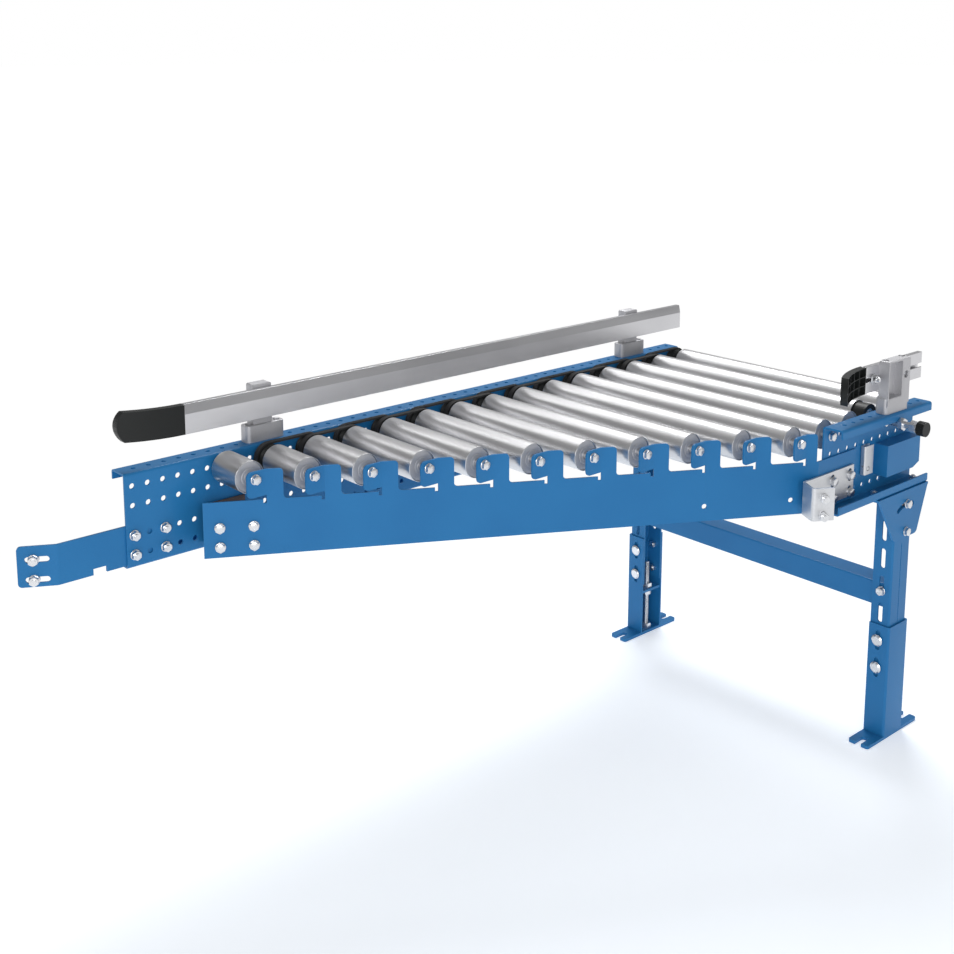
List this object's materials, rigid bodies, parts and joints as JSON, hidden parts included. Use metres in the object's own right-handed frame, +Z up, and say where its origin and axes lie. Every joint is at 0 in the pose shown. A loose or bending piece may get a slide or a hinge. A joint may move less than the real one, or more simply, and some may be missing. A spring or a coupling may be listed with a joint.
{
  "type": "roller conveyor merge section",
  "caption": "Triangular 30 degree merge section of a powered roller conveyor: rollers between a straight and a diagonal rail, side guides, belt drive and a height adjustable stand.",
  "frame": {"origin": "on the floor, under the centre of the section's bounding box", "axes": "+X along the line towards the stand, -Y towards the side where the main line passes, +Z up"},
  "size_m": [1.4056, 0.6672, 0.694],
  "materials": {
    "blue_paint": "satin blue powder coat on folded steel sheet",
    "dark_paint": "dark brown-grey coating on folded steel sheet",
    "zinc_plate": "bright zinc plate",
    "roller_zinc": "galvanised steel tube with fine lengthwise streaks",
    "axle_steel": "bright drawn steel",
    "zinc_fastener": "zinc plated fasteners",
    "anodised_aluminium": "satin anodised extrusion",
    "cast_aluminium": "blasted casting",
    "black_moulding": "fine grained black moulding",
    "belt_rubber": "black ribbed belt rubber"
  },
  "bodies": {
    "frame": {"back_rail": "blue_paint", "right_rail": "blue_paint", "diagonal_rail": "blue_paint", "corner_gusset": "dark_paint", "arm_bracket": "blue_paint", "step_bracket": "zinc_plate", "back_guide": "anodised_aluminium", "right_guide": "anodised_aluminium", "guide_caps": "black_moulding", "guide_clamps": "cast_aluminium", "clamp_screws": "zinc_fastener", "drive_cover": "blue_paint", "cover_bracket": "zinc_plate", "drive_connector": "zinc_fastener", "roller_axles": "axle_steel", "roller_bearings": "axle_steel", "axle_bolts": "zinc_fastener", "frame_bolts": "zinc_fastener", "drive_belts": "belt_rubber", "head_plates": "blue_paint"},
    "stand": {"upper_legs": "blue_paint", "cross_beam": "blue_paint", "stand_bolts": "zinc_fastener"},
    "leg_back": {"lower_leg_back": "blue_paint", "spindle_nuts_back": "zinc_fastener"},
    "foot_back": {"foot_back": "blue_paint", "spindle_back": "zinc_fastener"},
    "leg_right": {"lower_leg_right": "blue_paint", "spindle_nuts_right": "zinc_fastener"},
    "foot_right": {"foot_right": "blue_paint", "spindle_right": "zinc_fastener"},
    "roller_01": {"roller_01": "roller_zinc"},
    "roller_02": {"roller_02": "roller_zinc", "drive_head_02": "black_moulding"},
    "roller_03": {"roller_03": "roller_zinc", "drive_head_03": "black_moulding"},
    "roller_04": {"roller_04": "roller_zinc", "drive_head_04": "black_moulding"},
    "roller_05": {"roller_05": "roller_zinc", "drive_head_05": "black_moulding"},
    "roller_06": {"roller_06": "roller_zinc", "drive_head_06": "black_moulding"},
    "roller_07": {"roller_07": "roller_zinc", "drive_head_07": "black_moulding"},
    "roller_08": {"roller_08": "roller_zinc", "drive_head_08": "black_moulding"},
    "roller_09": {"roller_09": "roller_zinc", "drive_head_09": "black_moulding"},
    "roller_10": {"roller_10": "roller_zinc", "drive_head_10": "black_moulding"},
    "roller_11": {"roller_11": "roller_zinc", "drive_head_11": "black_moulding"},
    "roller_12": {"roller_12": "roller_zinc", "drive_head_12": "black_moulding"},
    "roller_13": {"roller_13": "roller_zinc", "drive_head_13": "black_moulding"},
    "roller_14": {"roller_14": "roller_zinc", "drive_head_14": "black_moulding"},
    "roller_15": {"roller_15": "roller_zinc", "drive_head_15": "black_moulding"}
  },
  "joints": [
    {"name": "roller_01_spin", "type": "hinge", "parent": "frame", "child": "roller_01", "pos_m": [-0.38768, 0.26645, 0.583], "axis": [0, 1, 0], "continuous": true},
    {"name": "roller_02_spin", "type": "hinge", "parent": "frame", "child": "roller_02", "pos_m": [-0.31268, 0.26645, 0.583], "axis": [0, 1, 0], "continuous": true},
    {"name": "roller_03_spin", "type": "hinge", "parent": "frame", "child": "roller_03", "pos_m": [-0.23768, 0.26645, 0.583], "axis": [0, 1, 0], "continuous": true},
    {"name": "roller_04_spin", "type": "hinge", "parent": "frame", "child": "roller_04", "pos_m": [-0.16268, 0.26645, 0.583], "axis": [0, 1, 0], "continuous": true},
    {"name": "roller_05_spin", "type": "hinge", "parent": "frame", "child": "roller_05", "pos_m": [-0.08768, 0.26645, 0.583], "axis": [0, 1, 0], "continuous": true},
    {"name": "roller_06_spin", "type": "hinge", "parent": "frame", "child": "roller_06", "pos_m": [-0.01268, 0.26645, 0.583], "axis": [0, 1, 0], "continuous": true},
    {"name": "roller_07_spin", "type": "hinge", "parent": "frame", "child": "roller_07", "pos_m": [0.06232, 0.26645, 0.583], "axis": [0, 1, 0], "continuous": true},
    {"name": "roller_08_spin", "type": "hinge", "parent": "frame", "child": "roller_08", "pos_m": [0.13732, 0.26645, 0.583], "axis": [0, 1, 0], "continuous": true},
    {"name": "roller_09_spin", "type": "hinge", "parent": "frame", "child": "roller_09", "pos_m": [0.21232, 0.26645, 0.583], "axis": [0, 1, 0], "continuous": true},
    {"name": "roller_10_spin", "type": "hinge", "parent": "frame", "child": "roller_10", "pos_m": [0.28732, 0.26645, 0.583], "axis": [0, 1, 0], "continuous": true},
    {"name": "roller_11_spin", "type": "hinge", "parent": "frame", "child": "roller_11", "pos_m": [0.36232, 0.26645, 0.583], "axis": [0, 1, 0], "continuous": true},
    {"name": "roller_12_spin", "type": "hinge", "parent": "frame", "child": "roller_12", "pos_m": [0.43732, 0.26645, 0.583], "axis": [0, 1, 0], "continuous": true},
    {"name": "roller_13_spin", "type": "hinge", "parent": "frame", "child": "roller_13", "pos_m": [0.51232, 0.26645, 0.583], "axis": [0, 1, 0], "continuous": true},
    {"name": "roller_14_spin", "type": "hinge", "parent": "frame", "child": "roller_14", "pos_m": [0.58732, 0.26645, 0.583], "axis": [0, 1, 0], "continuous": true},
    {"name": "roller_15_spin", "type": "hinge", "parent": "frame", "child": "roller_15", "pos_m": [0.66232, 0.26645, 0.583], "axis": [0, 1, 0], "continuous": true},
    {"name": "stand_tilt", "type": "hinge", "parent": "frame", "child": "stand", "pos_m": [0.62282, 0.02045, 0.383], "axis": [0, 1, 0], "range_deg": [-30, 20]},
    {"name": "leg_back_slide", "type": "slide", "parent": "stand", "child": "leg_back", "axis": [0, 0, -1], "range_m": [-0.013, 0.013]},
    {"name": "foot_back_slide", "type": "slide", "parent": "leg_back", "child": "foot_back", "axis": [0, 0, -1], "range_m": [0, 0.04]},
    {"name": "leg_right_slide", "type": "slide", "parent": "stand", "child": "leg_right", "axis": [0, 0, -1], "range_m": [-0.013, 0.013]},
    {"name": "foot_right_slide", "type": "slide", "parent": "leg_right", "child": "foot_right", "axis": [0, 0, -1], "range_m": [0, 0.04]}
  ],
  "couplings": [
    {"joint": "roller_02_spin", "follows": "roller_14_spin", "ratio": 1},
    {"joint": "roller_03_spin", "follows": "roller_14_spin", "ratio": 1},
    {"joint": "roller_04_spin", "follows": "roller_14_spin", "ratio": 1},
    {"joint": "roller_05_spin", "follows": "roller_14_spin", "ratio": 1},
    {"joint": "roller_06_spin", "follows": "roller_14_spin", "ratio": 1},
    {"joint": "roller_07_spin", "follows": "roller_14_spin", "ratio": 1},
    {"joint": "roller_08_spin", "follows": "roller_14_spin", "ratio": 1},
    {"joint": "roller_09_spin", "follows": "roller_14_spin", "ratio": 1},
    {"joint": "roller_10_spin", "follows": "roller_14_spin", "ratio": 1},
    {"joint": "roller_11_spin", "follows": "roller_14_spin", "ratio": 1},
    {"joint": "roller_12_spin", "follows": "roller_14_spin", "ratio": 1},
    {"joint": "roller_13_spin", "follows": "roller_14_spin", "ratio": 1},
    {"joint": "roller_15_spin", "follows": "roller_14_spin", "ratio": 1}
  ]
}
